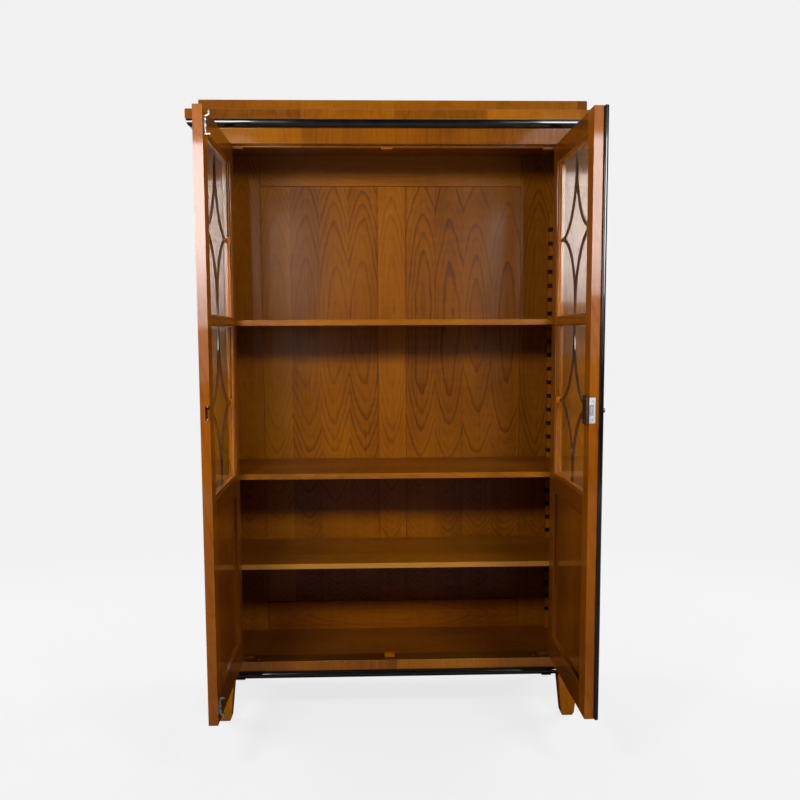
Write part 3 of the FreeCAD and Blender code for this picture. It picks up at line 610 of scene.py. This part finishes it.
def scattered(start, finish, head):
    """Ends a tree: a head on every point, sized and turned as the point says, spun at random."""
    spin = start.add("FunctionNodeRandomValue", {"data_type": "FLOAT"}, {2: 0.0, 3: math.pi, "Seed": 7}, 1)
    spin = start.add("FunctionNodeEulerToRotation", {}, {0: start.vector(0.0, 0.0, spin)})
    facing = start.add("GeometryNodeInputNamedAttribute", {"data_type": "FLOAT_VECTOR"}, {"Name": "facing"})
    size = start.add("GeometryNodeInputNamedAttribute", {"data_type": "FLOAT"}, {"Name": "size"})
    turned = start.add(
        "FunctionNodeAlignRotationToVector", {"axis": "Z"}, {"Rotation": spin, "Vector": facing})
    heads = start.add("GeometryNodeInstanceOnPoints", {}, {
        "Points": start, "Instance": head, "Rotation": turned, "Scale": size})
    real = start.add("GeometryNodeRealizeInstances", {}, {"Geometry": heads})
    return start.add("GeometryNodeSetMaterial", {}, {"Geometry": real, "Material": finish})


def screw_tree():
    names = ("Head Radius", "Head Height", "Slot Width")
    tree, entry, leave = new_tree("slotted_screws", names)
    start = Wire(tree, entry.outputs["Geometry"])
    radius, height, slot_width = (Wire(tree, entry.outputs[name]) for name in names)
    head = start.add("GeometryNodeMeshCone", {}, {
        "Vertices": 20, "Radius Top": radius * 0.86, "Radius Bottom": radius, "Depth": height})
    slot = start.add("GeometryNodeMeshCube", {}, {"Size": start.vector(radius * 3.0, slot_width, height)})
    raised = start.vector(0.0, 0.0, height)
    slot = start.add("GeometryNodeTransform", {}, {"Geometry": slot, "Translation": raised})
    cut = start.add(
        "GeometryNodeMeshBoolean", {"operation": "DIFFERENCE"}, {"Mesh 1": head, "Mesh 2": slot})
    scattered(start, Wire(tree, entry.outputs["Finish"]), cut).feed(leave, "Geometry")
    return tree


def planted(name, tree, sizes, finish, places):
    """A plain mesh of the tree's heads, one for each place, facing and size."""
    mesh = bpy.data.meshes.new(name)
    mesh.from_pydata([place for place, facing, size in places], [], [])
    mesh.attributes.new("facing", "FLOAT_VECTOR", "POINT")
    mesh.attributes.new("size", "FLOAT", "POINT")
    for index, (place, facing, size) in enumerate(places):
        mesh.attributes["facing"].data[index].vector = facing
        mesh.attributes["size"].data[index].value = size
    piece = bpy.data.objects.new(name, mesh)
    bpy.context.scene.collection.objects.link(piece)
    growth = piece.modifiers.new(name, "NODES")
    growth.node_group = tree
    inputs = {"Finish": finish, **sizes}
    for socket in tree.interface.items_tree:
        if socket.in_out == "INPUT" and socket.name in inputs:
            growth[socket.identifier] = inputs[socket.name]
    seen = piece.evaluated_get(bpy.context.evaluated_depsgraph_get())
    heads = bpy.data.meshes.new_from_object(seen)
    piece.modifiers.clear()
    piece.data = heads
    return piece


screw_sizes = {"Head Radius": 0.0031, "Head Height": 0.0009, "Slot Width": 0.0008}
left, right, down, up, outward = (-1, 0, 0), (1, 0, 0), (0, 0, -1), (0, 0, 1), (0, -1, 0)
pivot_head, rail_head, guide_head, strike_head, plate_head, case_head = 0.65, 1.0, 0.45, 0.5, 0.95, 0.85
case_screws, left_screws, right_screws = [], [], []

# Two in each socket of the pivots, and two more at each end of the base rail.
low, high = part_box("pivot_sockets")
socket_y = (low.y + high.y) / 2
rail_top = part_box("base_rail")[1].z
socket_thickness, rail_screw_y = 0.003, -0.207
socket_face = high.z - socket_thickness
for side in (-1, 1):
    for from_end in (0.004, 0.0295):
        x = side * (high.x - from_end)
        case_screws += [
            ((x, socket_y, rail_top), up, pivot_head), ((x, socket_y, socket_face), down, pivot_head)]
    for x in (0.488, 0.4575):
        case_screws.append(((side * x, rail_screw_y, rail_top), up, rail_head))

# Two in the plate of each pivot, in the ends of the hinge stiles.
for door, list_of_screws in (("left_door", left_screws), ("right_door", right_screws)):
    low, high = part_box(door + "_pivots")
    stile_low, stile_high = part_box(door + "_hinge_stile")
    for from_end in (0.005, 0.014):
        for level, facing in ((stile_low.z, down), (stile_high.z, up)):
            list_of_screws.append((((low.x + high.x) / 2, low.y + from_end, level), facing, pivot_head))

# Two small ones beside the bolt in each guide, and two in the strike.
low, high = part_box("left_door_bolt_guides")
guide_half, guide_plate, beside_bolt, strike_inset = 0.014, 0.001, 0.0066, 0.0024
for level in (low.z + guide_half, high.z - guide_half):
    for beside in (-beside_bolt, beside_bolt):
        place = (low.x + guide_plate, (low.y + high.y) / 2 + beside, level)
        left_screws.append((place, right, guide_head))
low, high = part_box("left_door_strike_plate")
for end in (low.z + strike_inset, high.z - strike_inset):
    left_screws.append((((low.x + high.x) / 2, low.y, end), outward, strike_head))

# Two in the lock plate and four in the lock case.
low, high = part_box("right_door_lock_plate")
plate_inset, case_inset = 0.0105, 0.008
for end in (low.z + plate_inset, high.z - plate_inset):
    right_screws.append((((low.x + high.x) / 2, low.y, end), outward, plate_head))
low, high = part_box("right_door_lock_case")
for y in (low.y + case_inset, high.y - case_inset):
    for z in (low.z + case_inset, high.z - case_inset):
        right_screws.append(((low.x, y, z), left, case_head))

slotted_screws = screw_tree()
for body, places in (("case", case_screws), ("left_door", left_screws), ("right_door", right_screws)):
    piece = planted(body + "_screws", slotted_screws, screw_sizes, fitting_steel, places)
    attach(piece, body)

# Pins: fine steel brads that hold the glazing beads, with their small heads just showing.
# There are four along each bead, set back from the bevel.


def pin_tree():
    tree, entry, leave = new_tree("bead_pins", ("Head Radius", "Head Height"))
    start = Wire(tree, entry.outputs["Geometry"])
    radius, height = (Wire(tree, entry.outputs[name]) for name in ("Head Radius", "Head Height"))
    head = start.add("GeometryNodeMeshCone", {}, {
        "Vertices": 10, "Radius Top": radius * 0.7, "Radius Bottom": radius, "Depth": height})
    scattered(start, Wire(tree, entry.outputs["Finish"]), head).feed(leave, "Geometry")
    return tree


bead_pins = pin_tree()
pin_sizes = {"Head Radius": 0.0009, "Head Height": 0.0003}
pin_set_back = 0.006
pin_shares = (0.1, 0.37, 0.63, 0.9)
for door, inner_face, facing in (("left_door", 1, right), ("right_door", 0, left)):
    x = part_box(door + "_beads")[inner_face].x
    free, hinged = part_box(door + "_lock_stile")[1].y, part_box(door + "_hinge_stile")[0].y
    levels = [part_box(door + rail) for rail in ("_top_rail", "_mid_rail", "_lock_rail")]
    places = []
    for above, below in zip(levels, levels[1:]):
        bottom, top = below[1].z, above[0].z
        for share in pin_shares:
            y, z = free + share * (hinged - free), bottom + share * (top - bottom)
            around = (
                (y, bottom - pin_set_back), (y, top + pin_set_back),
                (free - pin_set_back, z), (hinged + pin_set_back, z),
            )
            places += [((x, *spot), facing, 1.0) for spot in around]
    piece = planted(door + "_pins", bead_pins, pin_sizes, fitting_steel, places)
    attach(piece, door)

# Studio: a pale floor and an even white surround, with the object's shadow left on the floor.
# Near the object the floor shows its true light in the polish; farther off it is plain white.


def staged(name, corners, finish):
    """A flat sheet of the studio through the corners."""
    mesh = bpy.data.meshes.new(name)
    mesh.from_pydata(corners, [], [tuple(range(len(corners)))])
    mesh.materials.append(finish)
    sheet = bpy.data.objects.new(name, mesh)
    bpy.context.scene.collection.objects.link(sheet)
    sheet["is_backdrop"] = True
    return sheet


def rays(wire, *kinds):
    """1 for the named kinds of ray, 0 for all others."""
    path = wire.add("ShaderNodeLightPath", {}, {}).socket.node
    picked = [Wire(wire.tree, path.outputs[kind]) for kind in kinds]
    total = picked[0]
    for one in picked[1:]:
        total = total.math("MAXIMUM", total, one)
    return total


stage_white = (0.885, 0.885, 0.885)
floor_paint, floor_shader, floor_place = new_finish("studio_floor_paint")
floor_dark, dark_share = (0.08, 0.08, 0.08), 0.7
bounce = rays(floor_place, "Is Diffuse Ray") * dark_share
bounce.between((*stage_white, 1), (*floor_dark, 1)).feed(floor_shader, "Base Color")
floor_shader.inputs["Roughness"].default_value = 0.9
floor_shader.inputs["Specular IOR Level"].default_value = 0.0
far_off = floor_place.add("ShaderNodeVectorMath", {"operation": "LENGTH"}, {0: floor_place}, "Value")
near_edge, far_edge, near_even, near_glow = 1.0, 3.5, 0.80, 0.45
far_off = far_off.ramp(near_edge, far_edge)
even = near_even + far_off * (1 - near_even)
seen = rays(floor_place, "Is Camera Ray", "Is Transmission Ray")
seen = seen.math("MAXIMUM", seen, rays(floor_place, "Is Glossy Ray") * far_off)
glow = floor_place.add("ShaderNodeEmission", {}, {
    "Color": (*stage_white, 1), "Strength": 1.0 + (1.0 - even) * near_glow})
lit = Wire(floor_place.tree, floor_shader.outputs[0])
floor_mix = floor_place.add("ShaderNodeMixShader", {}, {0: even * seen, 1: lit, 2: glow})
floor_mix.feed(floor_paint.node_tree.nodes["Material Output"], "Surface")
reach = 30.0
staged("studio_floor", [(-reach, -reach, 0), (reach, -reach, 0), (reach, reach, 0), (-reach, reach, 0)],
       floor_paint)

surround_light = 0.025
world = bpy.data.worlds.new("studio_surround")
bpy.context.scene.world = world
world.use_nodes = True
sky = world.node_tree.nodes["Background"]
sky.inputs["Color"].default_value = (*stage_white, 1)
sky_wire = Wire(world.node_tree, sky.outputs[0])
sky_seen = rays(sky_wire, "Is Camera Ray", "Is Glossy Ray", "Is Transmission Ray")
(surround_light + sky_seen * (1 - surround_light)).feed(sky, "Strength")

# The dark room behind the camera, a grey cloth on the floor that glows faintly as painted light for the lit
# floor, and a dark sheet as painted shade under the case. Only polish and metal mirror them.


def mirrored_only(sheet):
    """Hides the sheet from everything but polish and metal."""
    for kind in ("camera", "diffuse", "transmission", "shadow"):
        setattr(sheet, "visible_" + kind, False)


room_paint, room_shader = new_finish("studio_room_paint")[:2]
room_shader.inputs["Base Color"].default_value = (0.012, 0.012, 0.012, 1)
room_shader.inputs["Specular IOR Level"].default_value = 0.0
grey_paint, grey_shader = new_finish("studio_cloth_paint")[:2]
grey_shader.inputs["Base Color"].default_value = (0.0, 0.0, 0.0, 1)
grey_shader.inputs["Specular IOR Level"].default_value = 0.0
grey_shader.inputs["Emission Color"].default_value = (1, 1, 1, 1)
grey_shader.inputs["Emission Strength"].default_value = 0.35
room_half, room_front, room_back, room_top, above_floor = 6.0, -6.0, -0.8, 5.0, 0.002
for name, corners in (
    ("studio_end_wall", [(-1, 0, 0), (1, 0, 0), (1, 0, 1), (-1, 0, 1)]),
    ("studio_left_wall", [(-1, 1, 0), (-1, 0, 0), (-1, 0, 1), (-1, 1, 1)]),
    ("studio_right_wall", [(1, 0, 0), (1, 1, 0), (1, 1, 1), (1, 0, 1)]),
    ("studio_ceiling", [(-1, 0, 1), (1, 0, 1), (1, 1, 1), (-1, 1, 1)]),
    ("studio_cloth", [(-0.4, 0.2, 0), (0.4, 0.2, 0), (0.4, 1.08, 0), (-0.4, 1.08, 0)]),
    ("studio_shade", [(-0.4, 1.08, 0), (0.4, 1.08, 0), (0.4, 1.3, 0), (-0.4, 1.3, 0)]),
):
    depth = room_back - room_front
    corners = [(x * room_half, room_front + y * depth, z * room_top + above_floor) for x, y, z in corners]
    mirrored_only(staged(name, corners, grey_paint if name == "studio_cloth" else room_paint))

# Two soft boxes beside the camera, each a bright cloth in a pale rim. A lamp inside gives the light,
# and the cloth and the rim are what polish and metal mirror.


def hung_lamp(name, place, aim, size, power):
    """A lamp turned to its aim, hidden from the camera and from polish and metal."""
    lamp = bpy.data.lights.new(name, "AREA")
    lamp.size = size
    lamp.energy = power
    holder = bpy.data.objects.new(name, lamp)
    holder.location = place
    holder.rotation_euler = (Vector(aim) - holder.location).to_track_quat("-Z", "Y").to_euler()
    holder.visible_camera = False
    holder.visible_glossy = False
    bpy.context.scene.collection.objects.link(holder)
    return lamp


cloth_paint, cloth_shader, cloth_place = new_finish("soft_box_cloth")
rim_paint, rim_shader = new_finish("soft_box_rim")[:2]
for shader, strength in ((cloth_shader, 33.0), (rim_shader, 1.9)):
    shader.inputs["Base Color"].default_value = (0.0, 0.0, 0.0, 1)
    shader.inputs["Specular IOR Level"].default_value = 0.0
    shader.inputs["Emission Color"].default_value = (1, 1, 1, 1)
    shader.inputs["Emission Strength"].default_value = strength
dim_below, bright_above, dim_cloth = 1.3, 1.75, (0.35, 0.35, 0.35)
cloth_level = cloth_place.add("ShaderNodeSeparateXYZ", {}, {0: cloth_place}, "Z")
cloth_level = cloth_level.ramp(dim_below, bright_above)
cloth_level.between((*dim_cloth, 1), (1, 1, 1, 1)).feed(cloth_shader, "Emission Color")
box_y, box_half, lamp_level, lamp_height = -2.6, 0.24, 2.02, 0.3
rim_half, rim_rise, rim_cut, rim_behind = 0.43, 0.66, 0.22, 0.05
box_aim = (0, 0, 1.2)
for name, x, bottom, top, power in (
    ("left_soft_box", -0.96, 1.31, 2.13, 34.5), ("right_soft_box", 1.10, 1.45, 2.17, 28.0),
):
    lamp = hung_lamp(name, (x, box_y, lamp_level), box_aim, 2 * box_half, power)
    lamp.shape = "RECTANGLE"
    lamp.size_y = lamp_height
    middle = (bottom + top) / 2
    cloth = [(x + side * box_half, box_y, z) for side, z in ((-1, bottom), (1, bottom), (1, top), (-1, top))]
    outline = [(-1, -1, 1, 0), (1, -1, -1, 0), (1, -1, 0, 1), (1, 1, 0, -1),
               (1, 1, -1, 0), (-1, 1, 1, 0), (-1, 1, 0, -1), (-1, -1, 0, 1)]
    rim = [(x + sx * rim_half + cx * rim_cut, box_y - rim_behind, middle + sz * rim_rise + cz * rim_cut)
           for sx, sz, cx, cz in outline]
    for part, corners, paint in (("_cloth", cloth, cloth_paint), ("_rim", rim, rim_paint)):
        mirrored_only(staged(name + part, corners, paint))

# Three fill lamps behind the case, which light its sides, its back and its top.
fill_size, fill_aim = 1.6, (0, 0.1, 1.1)
for name, place, power in (
    ("left_fill", (-3.2, 1.6, 2.4), 60.0), ("right_fill", (3.2, 1.6, 2.4), 60.0),
    ("rear_fill", (0.0, 2.6, 3.8), 45.0),
):
    hung_lamp(name, place, fill_aim, fill_size, power)

# The camera, with its place, angle and lens fitted to the photograph.
image_width = 800.0
sensor = 36.0
focal_pixels = 943.158
axis_column, axis_row = 401.246, 436.82
yaw, pitch, roll = math.radians(1.89994), math.radians(-6.13921), math.radians(-0.25909)
eye = Vector((-0.08252, -3.24968, 1.27072))
ahead = Vector((math.sin(yaw) * math.cos(pitch), math.cos(yaw) * math.cos(pitch), math.sin(pitch)))
level = Vector((math.cos(yaw), -math.sin(yaw), 0))
upward = level.cross(ahead)
rightward = level * math.cos(roll) + upward * math.sin(roll)
upward = upward * math.cos(roll) - level * math.sin(roll)
lens = bpy.data.cameras.new("photo_camera")
lens.sensor_width = sensor
lens.lens = focal_pixels * sensor / image_width
lens.shift_x = (image_width / 2 - axis_column) / image_width
lens.shift_y = (axis_row - image_width / 2) / image_width
camera = bpy.data.objects.new("photo_camera", lens)
camera.matrix_world = Matrix.Translation(eye) @ Matrix((rightward, upward, -ahead)).transposed().to_4x4()
bpy.context.scene.collection.objects.link(camera)
bpy.context.scene.camera = camera
bpy.context.scene.view_settings.view_transform = "Standard"

# The bounds of the dressed object, without the studio.
low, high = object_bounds()
